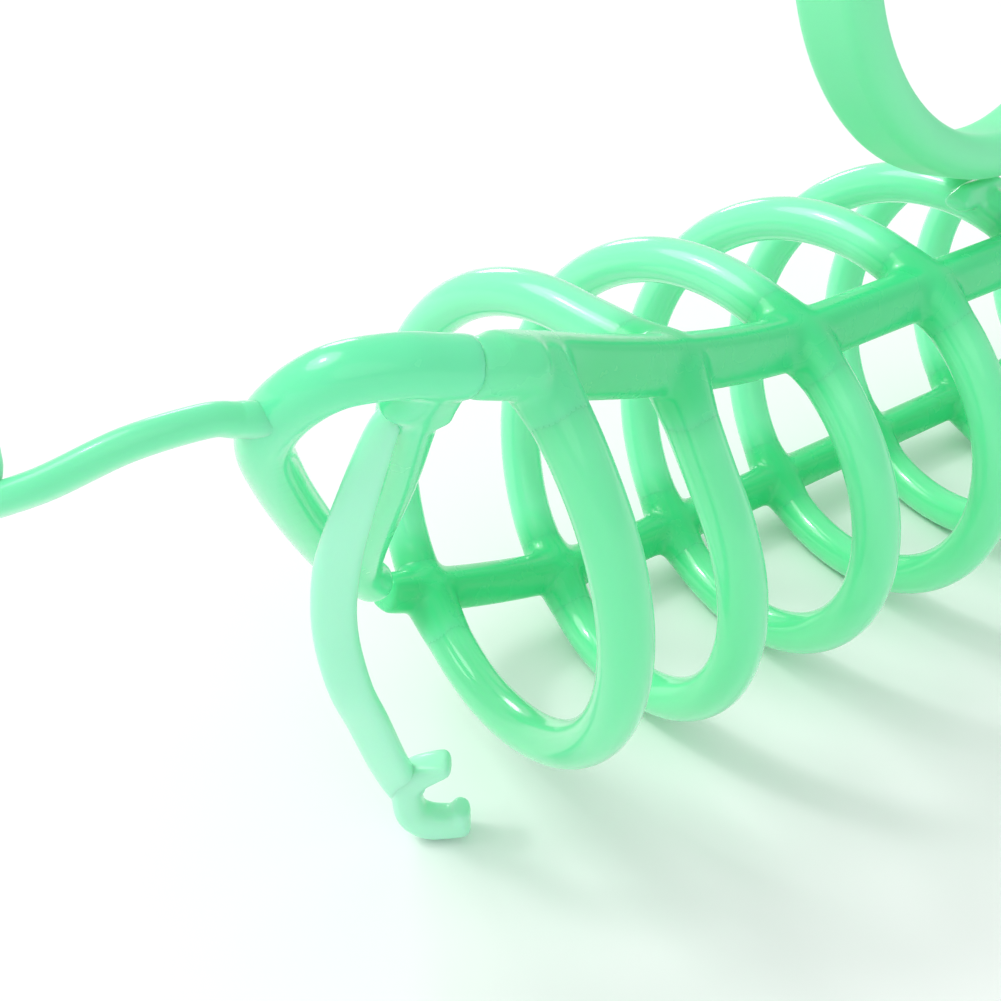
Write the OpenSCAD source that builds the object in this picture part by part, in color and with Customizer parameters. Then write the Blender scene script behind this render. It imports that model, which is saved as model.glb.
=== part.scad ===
// Moulded coil leg band: an open helical sleeve on two rails, with a spring gate, two strap arms
// and snap forks at each end, and a carry ring on its crown. Millimetres, +Z up, the leg passes
// along X, and the origin is the centre of the leg passage.

/* [Coil] */
// Clear bore round the leg
bore_d = 20; // [18:0.5:22]
// Thickness of a turn
wire_d = 2.3; // [1.8:0.1:2.6]
// Distance from one turn to the next
pitch = 9.2; // [8.4:0.2:10.4]
// Whole turns between the two ends
turns = 8; // [6:2:10]

/* [Rails] */
// Height of the upper rail's front face
upper_rail_h = 2.6; // [2.2:0.1:3]
// Height of the lower rail's front face
lower_rail_h = 2.3; // [2:0.1:2.8]
// Thickness of both rails
rail_t = 2; // [1.6:0.1:2.2]

/* [End gates] */
// Thickness of the gate's round bow
gate_d = 2.3; // [2:0.1:2.5]

/* [Straps and forks] */
// Width of a strap
strap_w = 1.9; // [1.6:0.1:2.1]
// Thickness of a strap
strap_t = 1.2; // [1:0.1:1.4]
// Bore of a fork's jaw
jaw_d = 1.5; // [1.2:0.1:1.6]
// Thickness of a fork
fork_t = 1.7; // [1.4:0.1:2]

/* [Carry ring] */
// Hole through the ring
ring_bore_d = 20.8; // [18:0.2:22]
// Radial thickness of the ring's band
ring_t = 2.3; // [2:0.1:2.6]
// Depth of the ring's band
ring_depth = 4.5; // [4:0.1:5]
// Lean of the ring away from the rails, in degrees
ring_lean = 10; // [0:1:12]

/* [Hidden] */
coil_r = (bore_d + wire_d) / 2;
half_len = turns * pitch / 2;
upper_a = 58;
lower_a = upper_a - 180;

// Both ends of the coil and its rails sweep up and towards the front.
coil_bend_len = 13.4;
coil_bend = [0, -3, 5.5];
rail_bend_len = 18.9;
rail_bend_start = half_len - 18.6;
upper_bend = [0, -3.2, 5.85];
lower_bend = [0, -0.55, 5.55];
upper_rail_end = half_len + 2.1;
lower_rail_end = half_len - 1.8;
rail_stations = 48;
rail_face = [0, -0.99, 0.14];

// The halves of a turn stop just short of the middle of each rail, inside it.
wire_sides = 12;
wire_steps = 20;
wire_inset = 0.02;
root_flare = 0.12;
root_len = 0.16;

// The gate is a D in a plane of its own: x runs outwards, y runs up the D.
gate_at = [-half_len - 0.53, -2.3, 5.9];
gate_out = unit([-0.954, 0.212, 0.212]);
gate_up = unit([0.034, -0.626, 0.779]);
gate_back = cross(gate_out, gate_up);
gate_bow = [[3.2, 12.3], [5.6, 12.4], [7.7, 11.6], [8.8, 9.3], [8.8, 6.5], [7.3, 3],
            [4.8, -1.6], [1.8, -6.5], [-0.5, -9.5], [-1.4, -10.5]];
gate_bar = [[4.1, 11.6], [3.8, 9.2], [3.25, 7], [2.2, 2.7], [1.05, -3.3], [0.1, -7.3], [-0.7, -9.6]];
gate_corner = [[4.2, 11.4], [4.6, 9.8]];
knuckle = [[2.9, 12.1], [2.5, 9.1], [3, 8.9], [4.2, 8.6], [4.8, 11.2], [3.6, 12.4]];
knuckle_t = 1.7;
gate_hinge = [3, 13.2];

// Routes of the straps' middle lines, from the root to the fork
front_route = [[-42, -6.85, 12.9], [-42.9, -6.4, 10.2], [-43.3, -5.2, 6.6], [-43.3, -4.6, 3.2],
               [-42.9, -4.7, 0], [-41.8, -4.2, -3.1], [-40.7, -3.6, -6.2], [-39.9, -3.2, -8.2],
               [-39.4, -3.3, -9.3]];
front_wide = [0.8, -0.6, 0];
front_root = 0.5;
tail_route = [[-47, -5.7, 14.8], [-48.2, -5.6, 15.1], [-50.8, -5, 14.8], [-53.4, -3.75, 13.6],
              [-55.2, -2.15, 12.6]];
tail_wide = [0.4, 0.7, -0.6];
tail_root = 1.2;
strap_steps = 4;

// A fork is drawn round its jaw, with x towards the mouth and y towards the strap.
front_fork_at = [-38.2, -4.2, -9.75];
front_fork_x = unit([0.8, -0.6, 0]);
front_fork_y = [0, 0, 1];
tail_fork_at = [-55.85, -0.5, 13.9];
tail_fork_x = unit([-0.11, 0.674, 0.729]);
tail_fork_y = unit([0.49, -0.6, 0.63]);

ring_r = (ring_bore_d + ring_t) / 2;
ring_at = [-0.8, -2.3, coil_r + 1.6];
saddle_size = [3.2, 1.2, 1.2];
hinge_web = 0.5;

mint = [0.62, 0.86, 0.76];
green = [0.36, 0.72, 0.58];
deep = [0.24, 0.55, 0.44];
grey_green = [0.45, 0.56, 0.5];

near_far = ["near", "far"];

// ---- Curves and sweeps ----

function unit(v) = v / norm(v);

function power(v, e) = sign(v) * pow(abs(v), e);

// A smooth curve through every point of a route
function spline(p, steps) = let (last = len(p) - 1) concat(
    [for (i = [0:last - 1], j = [0:steps - 1])
        between(p[max(i - 1, 0)], p[i], p[i + 1], p[min(i + 2, last)], j / steps)],
    [p[last]]);

function between(a, b, c, d, t) =
    (2 * b + (c - a) * t + (2 * a - 5 * b + 4 * c - d) * t * t
     + (3 * b - a - 3 * c + d) * t * t * t) / 2;

function heading(path, i) = unit(path[min(i + 1, len(path) - 1)] - path[max(i - 1, 0)]);

// One loop of points round a route: w across, h through, corner 2 for an ellipse and less for a box
function loop_points(c, along, wide, w, h, sides, corner) =
    let (u = unit(wide - (wide * along) * along), v = cross(along, u))
    [for (j = [0:sides - 1]) let (a = 360 * j / sides)
        c + u * (w / 2 * power(cos(a), corner)) + v * (h / 2 * power(sin(a), corner))];

// A closed skin over a route. wide, w and h hold one value for each point of the path.
module sweep(path, wide, w, h, sides = 12, corner = 1) {
    last = len(path) - 1;
    points = [for (i = [0:last])
        each loop_points(path[i], heading(path, i), wide[i], w[i], h[i], sides, corner)];
    skin = [for (i = [0:last - 1], j = [0:sides - 1])
        let (a = i * sides + j, b = i * sides + (j + 1) % sides)
        each [[a, a + sides, b + sides], [a, b + sides, b]]];
    ends = [[for (j = [0:sides - 1]) j],
            [for (j = [0:sides - 1]) last * sides + sides - 1 - j]];
    polyhedron(points, concat(skin, ends), convexity = 8);
}

function same(value, path) = [for (p = path) value];

// ---- The coil and its rails ----

function past(x, start, length) = max(0, (abs(x) - start) / length);

// Middle of a round turn at angle a, with no end bend
function round_turn(x, a) = [x, -coil_r * cos(a), coil_r * sin(a)];

function turn_point(x, a) =
    round_turn(x, a) + coil_bend * pow(past(x, half_len - coil_bend_len, coil_bend_len), 2);

function rail_rise(q) = q < 1 ? pow(q, 1.5) : 1.5 * q - 0.5;

function rail_point(x, a) =
    round_turn(x, a) + (a == upper_a ? upper_bend : lower_bend)
    * rail_rise(past(x, rail_bend_start, rail_bend_len));

function root_pull(t) = pow(max(0, 1 - t / root_len), 2);

// Half a turn from the rail at angle a to the other rail; t runs from 0 to 1 along it.
function half_turn_point(x0, a, t) =
    let (b = a == upper_a ? lower_a : upper_a,
         x = x0 + t * pitch / 2,
         start_pull = rail_point(x, a) - turn_point(x, a),
         end_pull = rail_point(x, b) - turn_point(x, b))
    turn_point(x, a - 180 * t) + start_pull * root_pull(t) + end_pull * root_pull(1 - t);

module half_turn(x0, a) {
    steps = [for (i = [0:wire_steps]) wire_inset + (1 - 2 * wire_inset) * i / wire_steps];
    path = [for (t = steps) half_turn_point(x0, a, t)];
    thick = [for (t = steps) wire_d * (1 + root_flare * (root_pull(t) + root_pull(1 - t)))];
    sweep(path, same([1, 0, 0], path), thick, thick, wire_sides);
}

module near_half_turn(i) color(mint) half_turn(-half_len + (i - 1) * pitch, upper_a);

module far_half_turn(i) color(green) half_turn(-half_len + (i - 0.5) * pitch, lower_a);

module rail(a, end, height) {
    path = [for (i = [0:rail_stations]) rail_point(end * (2 * i / rail_stations - 1), a)];
    sweep(path, same(rail_face, path), same(rail_t, path), same(height, path), 12, 0.6);
}

module upper_rail() color(green) rail(upper_a, upper_rail_end, upper_rail_h);

module lower_rail() color(deep) rail(lower_a, lower_rail_end, lower_rail_h);

// ---- The spring gates ----

function on_gate(p) = gate_at + gate_out * p[0] + gate_up * p[1];

module gate_tube(points, d, end_d) {
    path = [for (p = spline(points, strap_steps)) on_gate(p)];
    last = len(path) - 1;
    thick = [for (i = [0:last]) d + (end_d - d) * i / last];
    sweep(path, same(gate_back, path), thick, thick, 12);
}

module gate() color(mint) {
    gate_tube(gate_bow, gate_d, gate_d * 0.95);
    gate_tube(gate_bar, gate_d * 0.92, gate_d * 0.7);
    gate_tube(gate_corner, gate_d * 0.9, gate_d * 0.9);
    stand(gate_at, gate_out, gate_up) linear_extrude(knuckle_t, center = true) polygon(knuckle);
}

// The thin web that lets the gate swing, across the gap at the bow's outer edge
module gate_hinge() color(mint) {
    path = [for (x = [-1.8, -1.2, -0.6, -0.05])
        on_gate(gate_hinge + [x, -0.3])];
    sweep(path, same(gate_back, path), same(gate_d * 0.8, path), same(hinge_web, path), 8, 0.6);
}

// ---- The straps and their snap forks ----

// A strap starts at the share of its section given for its root, and is full a third of the way on.
module strap(route, wide, root) color(mint) {
    path = spline(route, strap_steps);
    last = len(path) - 1;
    grow = [for (i = [0:last]) 1 + (root - 1) * max(0, 1 - 3 * i / last)];
    sweep(path, same(wide, path), strap_w * grow, strap_t * [for (g = grow) sqrt(g)], 10, 0.7);
}

module front_strap() strap(front_route, front_wide, front_root);

module tail_strap() strap(tail_route, tail_wide, tail_root);

// A rounded finger from a to b
module finger(a, b, r) {
    along = b - a;
    translate(a) circle(r);
    translate(b) circle(r);
    translate(a) rotate(atan2(along[1], along[0])) translate([0, -r]) square([norm(along), 2 * r]);
}

module fork() color(grey_green) linear_extrude(fork_t, center = true, $fn = 48) difference() {
    union() {
        finger([-1.35, 0.9], [-1.2, -1.4], 0.95);
        finger([-1.1, 1.6], [-0.3, 1.75], 0.8);
        finger([-0.5, 1.9], [0.25, 2.1], 0.58);
        finger([-1.2, -1.6], [0.9, -1.6], 0.95);
        translate([1.05, -1.1]) circle(0.55);
    }
    circle(jaw_d / 2);
}

// Stands a drawing in the x, y plane on the x axis given, with y as near as can be
module stand(at, x, near_y) {
    z = unit(cross(x, near_y));
    y = cross(z, x);
    multmatrix([[x[0], y[0], z[0], at[0]], [x[1], y[1], z[1], at[1]], [x[2], y[2], z[2], at[2]]])
        children();
}

module front_fork() stand(front_fork_at, front_fork_x, front_fork_y) fork();

module tail_fork() stand(tail_fork_at, tail_fork_x, tail_fork_y) fork();

// ---- The carry ring ----

module carry_ring() color(mint) translate(ring_at) rotate([90 - ring_lean, 0, 0])
    translate([0, ring_r + ring_t / 2, 0]) rotate_extrude($fn = 96) {
        corner = ring_t / 2;
        for (side = [-1, 1]) translate([ring_r, side * (ring_depth / 2 - corner)])
            circle(corner, $fn = 48);
        translate([ring_r - corner, corner - ring_depth / 2])
            square([ring_t, ring_depth - ring_t]);
    }

// The pad on the crown of the middle turn, under the ring
module ring_saddle() color(green) {
    path = [for (x = [-1, -0.8, 0.8, 1])
        ring_at + [x * saddle_size[0] / 2, 0, -saddle_size[2] - 0.1]];
    narrow = [0.7, 1, 1, 0.7];
    sweep(path, same([0, 1, 0], path), saddle_size[1] * narrow, saddle_size[2] * narrow, 12, 0.6);
}

// The web between the pad and the ring, sharp along its top, where it bends
module ring_hinge() color(green) {
    path = [for (drop = [1.2, 0.6, 0.05]) ring_at - [0, 0, drop]];
    sweep(path, same([1, 0, 0], path), same(saddle_size[0] * 0.8, path),
          [2 * hinge_web, hinge_web, hinge_web / 5], 8, 0.6);
}

// ---- What is drawn ----

for (i = [1:turns]) {
    near_half_turn(i);
    far_half_turn(i);
}
upper_rail();
lower_rail();
for (e = near_far) mirror([e == "far" ? 1 : 0, 0, 0]) {
    gate();
    gate_hinge();
    front_strap();
    front_fork();
    tail_strap();
    tail_fork();
}
carry_ring();
ring_saddle();
ring_hinge();
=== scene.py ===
"""A moulded coil leg band in translucent mint plastic, standing on a pale floor."""
import math
import bmesh
import bpy
import numpy as np
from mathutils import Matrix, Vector


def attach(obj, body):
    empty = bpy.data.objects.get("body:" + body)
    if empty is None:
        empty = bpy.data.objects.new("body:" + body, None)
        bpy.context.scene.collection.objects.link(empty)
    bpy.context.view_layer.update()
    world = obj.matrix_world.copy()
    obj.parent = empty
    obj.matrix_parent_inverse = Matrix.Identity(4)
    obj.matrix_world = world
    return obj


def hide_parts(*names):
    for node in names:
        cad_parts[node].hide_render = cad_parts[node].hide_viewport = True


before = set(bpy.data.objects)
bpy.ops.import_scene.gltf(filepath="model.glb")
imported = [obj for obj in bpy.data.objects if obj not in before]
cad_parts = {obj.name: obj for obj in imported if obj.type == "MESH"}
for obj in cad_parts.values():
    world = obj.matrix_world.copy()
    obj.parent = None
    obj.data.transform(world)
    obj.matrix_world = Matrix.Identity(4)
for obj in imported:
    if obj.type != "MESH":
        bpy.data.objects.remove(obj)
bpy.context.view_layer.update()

# ---- Dimensions, in millimetres, as in the CAD ----

MM = 0.001
COIL_R = 11.15
WIRE_D = 2.3
PITCH = 9.2
TURNS = 8
HALF_LEN = TURNS * PITCH / 2
UPPER_A = 58              # degrees up from the front, round the coil
LOWER_A = UPPER_A - 180
COIL_BEND_LEN = 13.4
COIL_BEND = np.array([0, -3, 5.5])
RAIL_BEND_LEN = 18.9
RAIL_BEND_START = HALF_LEN - 18.6
UPPER_BEND = np.array([0, -3.2, 5.85])
LOWER_BEND = np.array([0, -0.55, 5.55])
UPPER_RAIL_END = HALF_LEN + 2.1
LOWER_RAIL_END = HALF_LEN - 1.8
RAIL_FACE = [0, -0.99, 0.14]
RAIL_T = 2.0
UPPER_RAIL_H = 2.6
LOWER_RAIL_H = 2.3
GATE_D = 2.3
STRAP_W = 1.9
STRAP_T = 1.2
FLOOR_Z = -12.32


def unit(v):
    v = np.asarray(v, float)
    return v / np.linalg.norm(v)


# The near gate's plane: the origin of its drawing, the way out from the coil, and the way up.
GATE_AT = np.array([-HALF_LEN - 0.53, -2.3, 5.9])
GATE_OUT = unit([-0.954, 0.212, 0.212])
GATE_UP = unit([0.034, -0.626, 0.779])
GATE_BACK = np.cross(GATE_OUT, GATE_UP)

# Centre lines of the near end's straps, from the gate outwards, and where their forks sit.
FRONT_ROUTE = [(-42, -6.85, 12.9), (-42.9, -6.4, 10.2), (-43.3, -5.2, 6.6), (-43.3, -4.6, 3.2),
               (-42.9, -4.7, 0), (-41.8, -4.2, -3.1), (-40.7, -3.6, -6.2), (-39.9, -3.2, -8.2),
               (-39.4, -3.3, -9.3)]
TAIL_ROUTE = [(-47, -5.7, 14.8), (-48.2, -5.6, 15.1), (-50.8, -5, 14.8), (-53.4, -3.75, 13.6),
              (-55.2, -2.15, 12.6)]
FRONT_FORK_AT, FRONT_FORK_X, FRONT_FORK_Y = (-38.2, -4.2, -9.75), (0.8, -0.6, 0), (0, 0, 1)
TAIL_FORK_AT, TAIL_FORK_X, TAIL_FORK_Y = (-55.85, -0.5, 13.9), (-0.11, 0.674, 0.729), (0.49, -0.6, 0.63)
FORK_T = 1.7
RING_FOOT = np.array([-0.8, -2.3, COIL_R])
PULL_SHARE = 0.16         # how far along a half turn the rail pulls it off the coil's line


# ---- Curves ----

def spline(points, steps):
    """A smooth curve through every point of a route."""
    p = [np.array(q, float) for q in points]
    last = len(p) - 1
    out = []
    for i in range(last):
        a, b, c, d = p[max(i - 1, 0)], p[i], p[i + 1], p[min(i + 2, last)]
        for j in range(steps):
            t = j / steps
            out.append((2 * b + (c - a) * t + (2 * a - 5 * b + 4 * c - d) * t * t
                        + (3 * b - a - 3 * c + d) * t ** 3) / 2)
    out.append(p[last])
    return out


def past(x, start, length):
    """How far x lies beyond start on either side of the middle, in lengths."""
    return max(0.0, (abs(x) - start) / length)


def round_turn(x, a):
    return np.array([x, -COIL_R * math.cos(math.radians(a)), COIL_R * math.sin(math.radians(a))])


def turn_point(x, a):
    """A point on the coil, which sweeps up at its ends."""
    return round_turn(x, a) + COIL_BEND * past(x, HALF_LEN - COIL_BEND_LEN, COIL_BEND_LEN) ** 2


def rail_point(x, a):
    """A point on a rail, which starts to sweep up before the coil does."""
    q = past(x, RAIL_BEND_START, RAIL_BEND_LEN)
    rise = q ** 1.5 if q < 1 else 1.5 * q - 0.5
    return round_turn(x, a) + (UPPER_BEND if a == UPPER_A else LOWER_BEND) * rise


def root_pull(t):
    """1 where a half turn meets a rail, and 0 beyond its root."""
    return max(0.0, 1 - t / PULL_SHARE) ** 2


def half_turn_point(x0, a, t):
    """A point a share t along the half turn that leaves the rail at a and ends on the other."""
    b = LOWER_A if a == UPPER_A else UPPER_A
    x = x0 + t * PITCH / 2
    start_pull = rail_point(x, a) - turn_point(x, a)
    end_pull = rail_point(x, b) - turn_point(x, b)
    return (turn_point(x, a - 180 * t) + start_pull * root_pull(t)
            + end_pull * root_pull(1 - t))


def on_gate(p):
    """A point of the gate's own drawing, placed in the band's frame."""
    return GATE_AT + GATE_OUT * p[0] + GATE_UP * p[1]


# ---- Skins ----

CAP_ANGLES = (0.35, 0.7, 1.05, 1.4)
CAP_REACH = 0.3           # of the section's smaller side
CAP_NARROWING = 0.5


def sweep_mesh(path, wide, w, h, sides=32, corner=1.0, round_start=True, round_end=True):
    """Vertices and faces of a closed skin over a route.

    wide points along the section's width, and w and h are numbers or one per point. A corner of 1
    gives a round section, and a smaller one squares it.
    """
    path = [np.array(p, float) for p in path]
    n = len(path)
    w = np.broadcast_to(np.asarray(w, float), (n,))
    h = np.broadcast_to(np.asarray(h, float), (n,))
    wide = np.broadcast_to(np.asarray(wide, float), (n, 3))
    rings = []

    def ring(centre, along, across, width, height):
        u = unit(across - (across @ along) * along)
        v = np.cross(along, u)
        loop = []
        for j in range(sides):
            a = 2 * math.pi * j / sides
            c, s = math.cos(a), math.sin(a)
            c, s = math.copysign(abs(c) ** corner, c), math.copysign(abs(s) ** corner, s)
            loop.append(centre + u * (width / 2 * c) + v * (height / 2 * s))
        return loop

    def cap(centre, along, across, width, height, sign):
        """Rings that round an end off."""
        reach = min(width, height) * CAP_REACH
        rounded = []
        for a in CAP_ANGLES:
            left = 1 - CAP_NARROWING * (1 - math.cos(a))
            rounded.append(ring(centre + along * sign * reach * math.sin(a), along, across,
                                width * left, height * left))
        return rounded

    for i in range(n):
        along = unit(path[min(i + 1, n - 1)] - path[max(i - 1, 0)])
        if i == 0 and round_start:
            rings += list(reversed(cap(path[0], along, wide[0], w[0], h[0], -1)))
        rings.append(ring(path[i], along, wide[i], w[i], h[i]))
        if i == n - 1 and round_end:
            rings += cap(path[-1], along, wide[-1], w[-1], h[-1], 1)
    verts = [v for r in rings for v in r]
    faces = []
    for i in range(len(rings) - 1):
        for j in range(sides):
            a, b = i * sides + j, i * sides + (j + 1) % sides
            faces.append((a, b, b + sides, a + sides))
    faces.append(tuple(reversed(range(sides))))
    faces.append(tuple((len(rings) - 1) * sides + j for j in range(sides)))
    return verts, faces


def piece(name, parts, material, body, nodes=(), mirror=False):
    """One object from one or more skins, in the row frame, riding on a body."""
    mesh = bpy.data.meshes.new(name)
    verts, faces = [], []
    for v, f in parts:
        base = len(verts)
        verts += [Vector((-p[0] if mirror else p[0], p[1], p[2])) * MM for p in v]
        faces += [tuple(reversed([base + i for i in q])) if mirror else
                  tuple(base + i for i in q) for q in f]
    mesh.from_pydata(verts, [], faces)
    mesh.update()
    mesh.polygons.foreach_set("use_smooth", [True] * len(mesh.polygons))
    obj = bpy.data.objects.new(name, mesh)
    bpy.context.scene.collection.objects.link(obj)
    mesh.materials.append(material)
    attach(obj, body)
    if nodes:
        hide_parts(*nodes)
    return obj


ROUND_STEP = 0.5
EVEN_STEPS = (0.6, -0.62)


def soften(mesh, rounds, even_rounds):
    """Rounds a dense mesh's creases off, then evens its skin out without shrinking it further."""
    n = len(mesh.vertices)
    co = np.empty(n * 3)
    mesh.vertices.foreach_get("co", co)
    co = co.reshape(n, 3)
    ends = np.empty(len(mesh.edges) * 2, int)
    mesh.edges.foreach_get("vertices", ends)
    a, b = ends.reshape(-1, 2).T
    count = np.bincount(ends, minlength=n)[:, None]
    for step in [ROUND_STEP] * rounds + list(EVEN_STEPS) * even_rounds:
        near = np.stack([np.bincount(a, co[b, k], n) + np.bincount(b, co[a, k], n)
                         for k in range(3)], 1) / count
        co = co + step * (near - co)
    mesh.vertices.foreach_set("co", co.ravel())
    mesh.update()


def fused(obj, voxel, rounds, even_rounds=30):
    """Melts overlapping skins into one moulded skin with filleted joints."""
    remesh = obj.modifiers.new("melt", "REMESH")
    remesh.mode = "VOXEL"
    remesh.voxel_size = voxel * MM
    bpy.context.view_layer.update()
    graph = bpy.context.evaluated_depsgraph_get()
    melted = bpy.data.meshes.new_from_object(obj.evaluated_get(graph))
    material = obj.data.materials[0]
    obj.modifiers.clear()
    obj.data = melted
    soften(melted, rounds, even_rounds)
    melted.materials.clear()
    melted.materials.append(material)
    melted.polygons.foreach_set("use_smooth", [True] * len(melted.polygons))
    return obj


# ---- Materials ----

def maths(tree, operation, *values):
    """A maths node on numbers or sockets; returns what it puts out."""
    node = tree.nodes.new("ShaderNodeMath")
    node.operation = operation
    for socket, value in zip(node.inputs, values):
        if isinstance(value, (int, float)):
            socket.default_value = value
        else:
            tree.links.new(value, socket)
    return node.outputs["Value"]


def add(tree, kind, inputs, **settings):
    """A node with its settings made and its inputs set to numbers, colours or sockets."""
    node = tree.nodes.new(kind)
    for setting, value in settings.items():
        setattr(node, setting, value)
    for name, value in inputs.items():
        if isinstance(value, bpy.types.NodeSocket):
            tree.links.new(value, node.inputs[name])
        else:
            node.inputs[name].default_value = value
    return node


def noise(tree, place, scale, detail):
    inputs = {"Vector": place, "Scale": scale, "Detail": detail}
    return add(tree, "ShaderNodeTexNoise", inputs).outputs["Fac"]


def ramp(tree, value, low, high, at_low=0, at_high=1, shape="LINEAR"):
    """Takes a value from low..high to at_low..at_high, and holds it beyond."""
    inputs = {"Value": value, "From Min": low, "From Max": high, "To Min": at_low, "To Max": at_high}
    return add(tree, "ShaderNodeMapRange", inputs, interpolation_type=shape).outputs["Result"]


def blend(tree, share, a, b):
    """Colour a, or b where share is 1."""
    inputs = {"Factor": share, "A": a, "B": b}
    return add(tree, "ShaderNodeMix", inputs, data_type="RGBA").outputs["Result"]


RAIL_FADE = (1.5, 4.2)                          # from the rail's line, in millimetres
RAIL_END_FADE = (HALF_LEN - 4, HALF_LEN + 3)    # along the coil
RAIL_END_SHARE = 0.25


def rail_share(tree, place):
    """1 on either rail, fading along the turns that run into it and towards the rail's ends."""
    x, y, z = add(tree, "ShaderNodeSeparateXYZ", {"Vector": place}).outputs
    out = maths(tree, "ABSOLUTE", x)
    run = maths(tree, "SUBTRACT", out, RAIL_BEND_START * MM)
    rise = maths(tree, "POWER", maths(tree, "MAXIMUM", maths(
        tree, "DIVIDE", run, RAIL_BEND_LEN * MM), 0.0), 1.5)
    shares = []
    for a, bend in ((UPPER_A, UPPER_BEND), (LOWER_A, LOWER_BEND)):
        line = round_turn(0, a)
        off = [maths(tree, "SUBTRACT", maths(tree, "SUBTRACT", here, float(line[k]) * MM),
                     maths(tree, "MULTIPLY", rise, float(bend[k]) * MM))
               for k, here in ((1, y), (2, z))]
        apart = maths(tree, "SQRT", maths(tree, "ADD", maths(tree, "MULTIPLY", off[0], off[0]),
                                          maths(tree, "MULTIPLY", off[1], off[1])))
        shares.append(ramp(tree, apart, RAIL_FADE[0] * MM, RAIL_FADE[1] * MM, 1, 0, "SMOOTHSTEP"))
    paler = ramp(tree, out, RAIL_END_FADE[0] * MM, RAIL_END_FADE[1] * MM, 1, RAIL_END_SHARE,
                 "SMOOTHSTEP")
    return maths(tree, "MULTIPLY", maths(tree, "MAXIMUM", *shares), paler)


DIRT = (0.05, 0.12, 0.09, 1)
SPECK_SPREAD = 260
SPECK_EDGE = (0.03, 0.055)
SPECK_STRENGTH = 0.6
RARE_CELLS = (0.93, 0.95)


def speck_share(tree, place):
    """Where a stray speck of dirt lies: near the middle of a few of the cells."""
    cells = add(tree, "ShaderNodeTexVoronoi", {"Vector": place, "Scale": SPECK_SPREAD})
    middle = ramp(tree, cells.outputs["Distance"], *SPECK_EDGE, SPECK_STRENGTH, 0)
    pick = add(tree, "ShaderNodeSeparateColor", {"Color": cells.outputs["Color"]})
    return maths(tree, "MULTIPLY", middle, ramp(tree, pick.outputs["Red"], *RARE_CELLS))


def plastic(name, clear, deep, roughness, scatter, sheen=0.08, coat=0.5, by_rail=None):
    """Milky moulded plastic: two tones that drift into each other, fine grain, stray specks."""
    m = bpy.data.materials.new(name)
    m.use_nodes = True
    tree = m.node_tree
    skin = tree.nodes["Principled BSDF"]
    place = tree.nodes.new("ShaderNodeTexCoord").outputs["Object"]

    tone = blend(tree, noise(tree, place, 55, 3), (*clear, 1), (*deep, 1))
    if by_rail:
        tone = blend(tree, rail_share(tree, place), tone, (*by_rail, 1))
    tree.links.new(blend(tree, speck_share(tree, place), tone, DIRT), skin.inputs["Base Color"])

    wear = ramp(tree, noise(tree, place, 420, 4), 0, 1, roughness - 0.06, roughness + 0.08)
    tree.links.new(wear, skin.inputs["Roughness"])

    ripple = add(tree, "ShaderNodeBump", {"Height": noise(tree, place, 150, 3), "Strength": 0.12,
                                          "Distance": 0.0004})
    tree.links.new(ripple.outputs["Normal"], skin.inputs["Normal"])

    skin.subsurface_method = "RANDOM_WALK"
    skin.inputs["Subsurface Weight"].default_value = 0.3
    skin.inputs["Subsurface Radius"].default_value = (0.35, 1.0, 0.6)
    skin.inputs["Subsurface Scale"].default_value = scatter * MM
    skin.inputs["IOR"].default_value = 1.45
    skin.inputs["Sheen Weight"].default_value = sheen
    skin.inputs["Sheen Roughness"].default_value = 0.3
    skin.inputs["Sheen Tint"].default_value = (0.7, 1.0, 0.88, 1)
    skin.inputs["Coat Weight"].default_value = coat
    skin.inputs["Coat Roughness"].default_value = 0.1
    return m


RAIL_TONE = (0.05, 0.72, 0.26)
# The near and far half turns are one plastic in two copies: the near ones, on the shaded front, are made
# darker as painted shade, and the far ones, whose crowns face the light, are made paler as painted
# light.
NEAR_TURN_PAINTED_SHADE = plastic("near_turn_plastic_painted_shade", (0.19, 0.90, 0.45), (0.14, 0.85, 0.38), 0.2, 0.9, coat=0.85,
                    by_rail=RAIL_TONE)
FAR_TURN_PAINTED_LIGHT = plastic("far_turn_plastic_painted_light", (0.28, 0.95, 0.58), (0.20, 0.91, 0.49), 0.2, 0.9, coat=0.85,
                   by_rail=RAIL_TONE)
RAIL = plastic("rail_plastic", (0.23, 0.92, 0.51), (0.17, 0.88, 0.44), 0.26, 0.9, by_rail=RAIL_TONE)
GATE = plastic("gate_plastic", (0.19, 0.90, 0.50), (0.12, 0.84, 0.40), 0.24, 0.9, coat=0.7)
STRAP = plastic("strap_plastic", (0.45, 0.98, 0.71), (0.36, 0.94, 0.63), 0.35, 0.9)
TAIL = plastic("tail_plastic", (0.21, 0.88, 0.49), (0.16, 0.82, 0.42), 0.35, 0.9)
FORK = plastic("fork_plastic", (0.46, 0.97, 0.70), (0.38, 0.91, 0.62), 0.38, 0.8)
RING = plastic("ring_plastic", (0.26, 0.92, 0.51), (0.20, 0.84, 0.42), 0.5, 0.9, sheen=0.2, coat=0.12)


# ---- The coil and its rails ----

ROOT_SHARE = 0.12         # of a half turn, which its flared root runs along
ROOT_RINGS = 15
ROOT_SWELL = 0.12
TURN_RINGS = 73
TURN_INSET = 0.03         # of a half turn, left to the root at each end


def turn_d(t):
    return WIRE_D * (1 + ROOT_SWELL * (root_pull(t) + root_pull(1 - t)))


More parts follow.
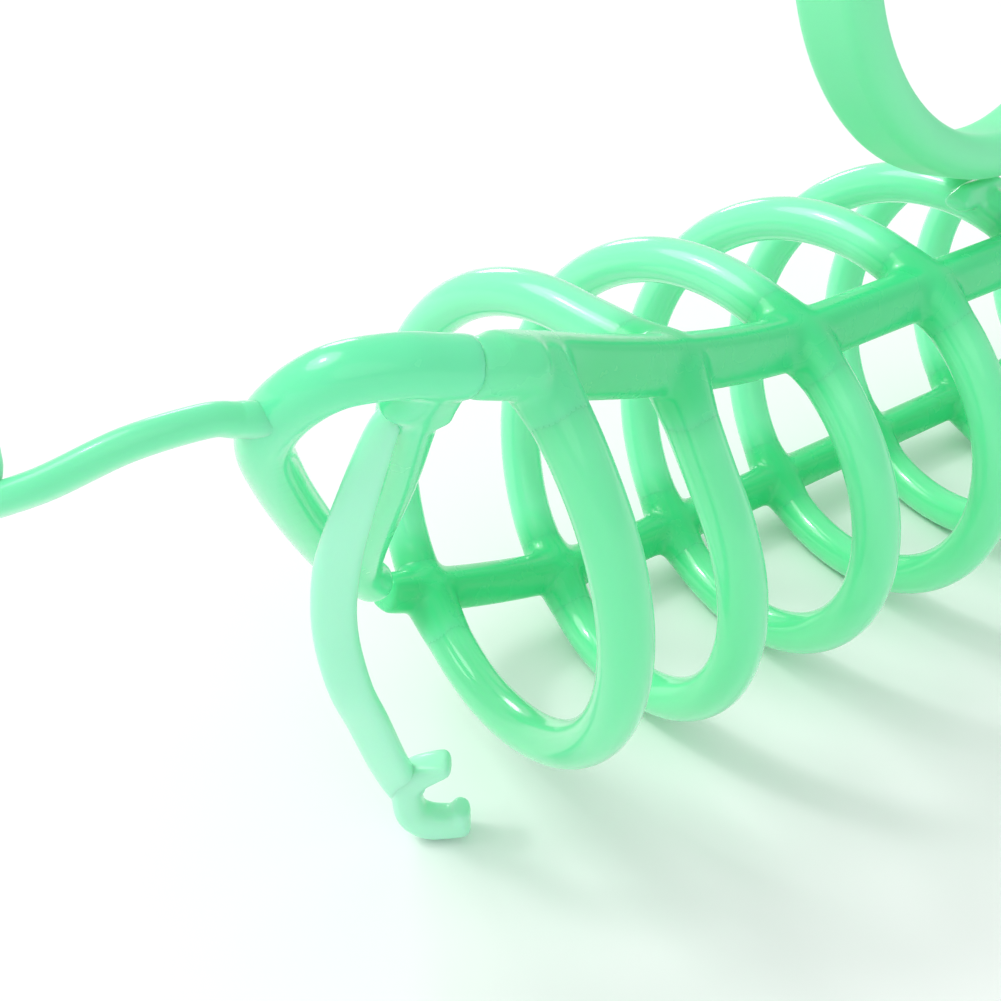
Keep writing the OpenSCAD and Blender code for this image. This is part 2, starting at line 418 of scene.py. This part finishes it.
def half_turn(name, x0, a, crown=()):
    """One half turn of round wire, with whatever stands on its crown melted into it."""
    steps = [TURN_INSET + (1 - 2 * TURN_INSET) * i / (TURN_RINGS - 1) for i in range(TURN_RINGS)]
    path = [half_turn_point(x0, a, t) for t in steps]
    thick = [turn_d(t) for t in steps]
    skin = sweep_mesh(path, (1, 0, 0), thick, thick, 32, 1.0, False, False)
    # The near half turns take the darker copy as painted shade, the far ones the paler copy as painted
    # light.
    material = NEAR_TURN_PAINTED_SHADE if a == UPPER_A else FAR_TURN_PAINTED_LIGHT
    obj = piece(name + "_skin", [skin, *crown], material, "coil",
                [name] + (["ring_saddle", "ring_hinge"] if crown else []))
    return fused(obj, 0.12, 10) if crown else obj


def foot_of_ring():
    """The pad on the crown that the ring stands on, narrowing to the web it tilts on."""
    pads = []
    for rise, length, width in ((0.25, 3.6, 1.7), (0.5, 3.2, 1.35), (0.8, 2.6, 1.0)):
        path = [RING_FOOT + np.array([length * (i / 8 - 0.5), 0, rise]) for i in range(9)]
        pads.append(sweep_mesh(path, (0, 1, 0), width, 0.8, 20, 0.8))
    return pads


for i in range(TURNS):
    half_turn(f"near_half_turn_{i + 1}", -HALF_LEN + i * PITCH, UPPER_A)
    half_turn(f"far_half_turn_{i + 1}", -HALF_LEN + (i + 0.5) * PITCH, LOWER_A,
              foot_of_ring() if 2 * i + 2 == TURNS else ())


def root(x0, a, from_end):
    """The flared root of a half turn, which melts into its rail and ends inside the turn."""
    shares = [ROOT_SHARE * i / (ROOT_RINGS - 1) for i in range(ROOT_RINGS)]
    path = [half_turn_point(x0, a, 1 - t if from_end else t) for t in shares]
    thick = [WIRE_D * (1.28 - 0.4 * t / ROOT_SHARE) for t in shares]
    return sweep_mesh(path, (1, 0, 0), thick, thick, 32, 1.0, False, True)


RAIL_RINGS = 241
RAIL_TAPER = 0.14         # of its height, lost over the last stretch at each end
RAIL_TAPER_LEN = 4


def rail(name, a, end, height, extra=(), nodes=()):
    """A rail from -end to end, with every root that meets it melted in."""
    xs = [end * (2 * i / (RAIL_RINGS - 1) - 1) for i in range(RAIL_RINGS)]
    high = [height * (1 - RAIL_TAPER * max(0, 1 - (end - abs(x)) / RAIL_TAPER_LEN) ** 2) for x in xs]
    skins = [sweep_mesh([rail_point(x, a) for x in xs], RAIL_FACE, RAIL_T, high, 40, 0.55,
                        False, False)]
    for i in range(TURNS):
        near, far = -HALF_LEN + i * PITCH, -HALF_LEN + (i + 0.5) * PITCH
        skins += [root(near, UPPER_A, a == LOWER_A), root(far, LOWER_A, a == UPPER_A)]
    obj = piece(name + "_skin", skins + list(extra), RAIL, "coil", [name, *nodes])
    return fused(obj, 0.14, 22, 10)


def neck(mirror):
    """Carries the rail on to the gate's bow, and stands for the thin web between them."""
    rings = 11
    path = [on_gate((x, y)) for x, y in zip(np.linspace(0.2, 3, rings), np.linspace(12.15, 12.3, rings))]
    verts, faces = sweep_mesh(path, GATE_BACK, 2.25, np.linspace(2.35, 2.3, rings), 28, 0.8,
                              False, False)
    if mirror:
        return [v * (-1, 1, 1) for v in verts], [tuple(reversed(f)) for f in faces]
    return verts, faces


rail("upper_rail", UPPER_A, UPPER_RAIL_END, UPPER_RAIL_H, [neck(False), neck(True)],
     ["near_gate_hinge", "far_gate_hinge"])
rail("lower_rail", LOWER_A, LOWER_RAIL_END, LOWER_RAIL_H)


# ---- Gates, straps and forks ----

def gate_tube(points, d, end_d, round_start=True):
    """A rounded member of the gate, d across at its start and end_d at its end."""
    path = [on_gate(p) for p in spline(points, 10)]
    thick = np.linspace(d, end_d, len(path))
    return sweep_mesh(path, GATE_BACK, thick, thick, 28, 0.9, round_start)


def prism(outline, thick):
    """A flat plate in the gate's plane."""
    n = len(outline)
    verts = [on_gate(p) + GATE_BACK * side * thick / 2 for side in (-1, 1) for p in outline]
    faces = [(i, (i + 1) % n, (i + 1) % n + n, i + n) for i in range(n)]
    return verts, faces + [tuple(reversed(range(n))), tuple(range(n, 2 * n))]


GATE_BOW = [(2.76, 12.3), (4.2, 12.38), (5.6, 12.4), (7.7, 11.6), (8.8, 9.3), (8.8, 6.5), (7.3, 3),
            (4.8, -1.6), (1.8, -6.5), (-0.5, -9.5), (-1.4, -10.5)]
GATE_BAR = [(4.1, 11.6), (3.8, 9.2), (3.25, 7), (2.2, 2.7), (1.05, -3.3), (0.1, -7.3), (-0.7, -9.6)]
GATE_CORNER = [(4.2, 11.4), (4.6, 9.8)]
KNUCKLE = [(2.9, 12.1), (2.5, 9.1), (3, 8.9), (4.2, 8.6), (4.8, 11.2), (3.6, 12.4)]
KNUCKLE_T = 1.7

# The fork's drawing about its jaw: the hook's middle line and its thickness there, and the tip.
FORK_HOOK = [(0.35, 2.15), (-0.35, 1.85), (-1.05, 1.45), (-1.5, 0.8), (-1.52, -0.2), (-1.3, -1.1),
             (-0.6, -1.62), (0.2, -1.68), (1.1, -1.6)]
FORK_THICK = [0.85, 1.25, 1.5, 1.5, 1.5, 1.6, 1.7, 1.55, 1.35]
FORK_TIP = [(0.85, -1.6), (0.95, -1.25), (1.05, -0.95)]

# Each strap's skin starts inside the gate, so that the two read as one moulding.
FRONT_ROOT = (-41.45, -6.95, 13.8)
TAIL_ROOT = (-45.9, -5.9, 14.5)


def fork(name, at, x, near_y, body, node, mirror):
    """A snap fork: a C that wraps its jaw, with a bump on the lower tip."""
    x = unit(x)
    z = unit(np.cross(x, near_y))
    y = np.cross(z, x)

    def spot(p):
        return np.array(at) + x * p[0] + y * p[1]

    hook = spline(FORK_HOOK, 6)
    across = np.interp(range(len(hook)), np.linspace(0, len(hook) - 1, len(FORK_THICK)), FORK_THICK)
    skins = [sweep_mesh([spot(p) for p in hook], z, FORK_T, across, 28, 0.75),
             sweep_mesh([spot(p) for p in FORK_TIP], z, FORK_T, 1.0, 24, 0.8)]
    obj = piece(f"{name}_skin", skins, FORK, body, [node], mirror)
    return fused(obj, 0.1, 8)


def strap(name, route, steps, wide, change, material, body, mirror):
    """A flat strap whose first third changes in width, by the given share at its root."""
    line = spline(route, steps)
    grow = np.array([1 + change * max(0, 1 - 3 * i / (len(line) - 1)) for i in range(len(line))])
    skin = sweep_mesh(line, wide, STRAP_W * grow, STRAP_T * np.sqrt(grow), 28, 0.8)
    piece(f"{name}_skin", [skin], material, body, [name], mirror)


def end_pieces(end, mirror):
    gate = piece(f"{end}_gate_skin",
                 [gate_tube(GATE_BOW, GATE_D * 1.03, GATE_D * 0.95, False),
                  gate_tube(GATE_BAR, GATE_D * 0.92, GATE_D * 0.7),
                  gate_tube(GATE_CORNER, GATE_D * 0.9, GATE_D * 0.9), prism(KNUCKLE, KNUCKLE_T)],
                 GATE, f"{end}_gate_body", [f"{end}_gate"], mirror)
    fused(gate, 0.12, 30, 10)
    strap(f"{end}_front_strap", [FRONT_ROOT] + FRONT_ROUTE, 10, (0.8, -0.6, 0), -0.5, STRAP,
          f"{end}_front_arm", mirror)
    strap(f"{end}_tail_strap", [TAIL_ROOT] + TAIL_ROUTE, 12, (0.4, 0.7, -0.6), 0.3, TAIL,
          f"{end}_tail_arm", mirror)
    fork(f"{end}_front_fork", FRONT_FORK_AT, FRONT_FORK_X, FRONT_FORK_Y, f"{end}_front_arm",
         f"{end}_front_fork", mirror)
    fork(f"{end}_tail_fork", TAIL_FORK_AT, TAIL_FORK_X, TAIL_FORK_Y, f"{end}_tail_arm",
         f"{end}_tail_fork", mirror)


end_pieces("near", False)
end_pieces("far", True)


def dress(node, material):
    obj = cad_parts[node]
    obj.data.materials.clear()
    obj.data.materials.append(material)


dress("carry_ring", RING)


# ---- Floor, light and camera ----

FLOOR_SIZE = 4            # metres from the middle to each edge
SKY_STRENGTH = 0.69


def stage():
    """A wide sheet of pale paper under the lowest turns."""
    mesh = bpy.data.meshes.new("floor")
    grid = bmesh.new()
    bmesh.ops.create_grid(grid, x_segments=8, y_segments=8, size=FLOOR_SIZE)
    grid.to_mesh(mesh)
    grid.free()
    floor = bpy.data.objects.new("floor", mesh)
    floor.location.z = FLOOR_Z * MM
    bpy.context.scene.collection.objects.link(floor)
    m = bpy.data.materials.new("floor_paper")
    m.use_nodes = True
    paper = m.node_tree.nodes["Principled BSDF"]
    paper.inputs["Base Color"].default_value = (0.93, 0.94, 0.935, 1)
    paper.inputs["Roughness"].default_value = 0.6
    mesh.materials.append(m)


def far_light(name, direction, strength, spread):
    """A distant soft light, so that the floor is as bright far off as it is by the band."""
    data = bpy.data.lights.new(name, "SUN")
    data.energy = strength
    data.angle = math.radians(spread)
    lamp = bpy.data.objects.new(name, data)
    lamp.rotation_euler = Vector(direction).to_track_quat("-Z", "Y").to_euler()
    bpy.context.scene.collection.objects.link(lamp)


def lighting():
    """An even white room, seen as pure white behind the band, with soft suns in it."""
    world = bpy.data.worlds.new("studio")
    world.use_nodes = True
    tree = world.node_tree
    sky = tree.nodes["Background"]
    sky.inputs["Color"].default_value = (1, 1, 1, 1)
    sky.inputs["Strength"].default_value = SKY_STRENGTH
    wall = tree.nodes.new("ShaderNodeBackground")
    wall.inputs["Color"].default_value = (1, 1, 1, 1)
    seen = tree.nodes.new("ShaderNodeLightPath")
    choice = tree.nodes.new("ShaderNodeMixShader")
    tree.links.new(seen.outputs["Is Camera Ray"], choice.inputs["Fac"])
    tree.links.new(sky.outputs["Background"], choice.inputs[1])
    tree.links.new(wall.outputs["Background"], choice.inputs[2])
    tree.links.new(choice.outputs["Shader"], tree.nodes["World Output"].inputs["Surface"])
    bpy.context.scene.world = world
    far_light("key", (0.5, -0.45, -0.85), 1.05, 40)
    far_light("key_glint", (0.5, -0.45, -0.85), 0.4, 8)
    far_light("back_glint", (-0.32, -0.9, -0.3), 0.3, 14)
    far_light("front", (0.5, 0.7, -0.6), 0.28, 50)


def camera():
    data = bpy.data.cameras.new("camera")
    data.lens = 50.1
    data.sensor_width = 36
    data.clip_start = 0.001
    cam = bpy.data.objects.new("camera", data)
    at, to = Vector((-64.77, -44.84, 38.83)) * MM, Vector((-31.38, 0, 2.4)) * MM
    cam.location = at
    cam.rotation_euler = (to - at).to_track_quat("-Z", "Y").to_euler()
    bpy.context.scene.collection.objects.link(cam)
    bpy.context.scene.camera = cam


stage()
lighting()
camera()
bpy.context.scene.view_settings.view_transform = "Standard"
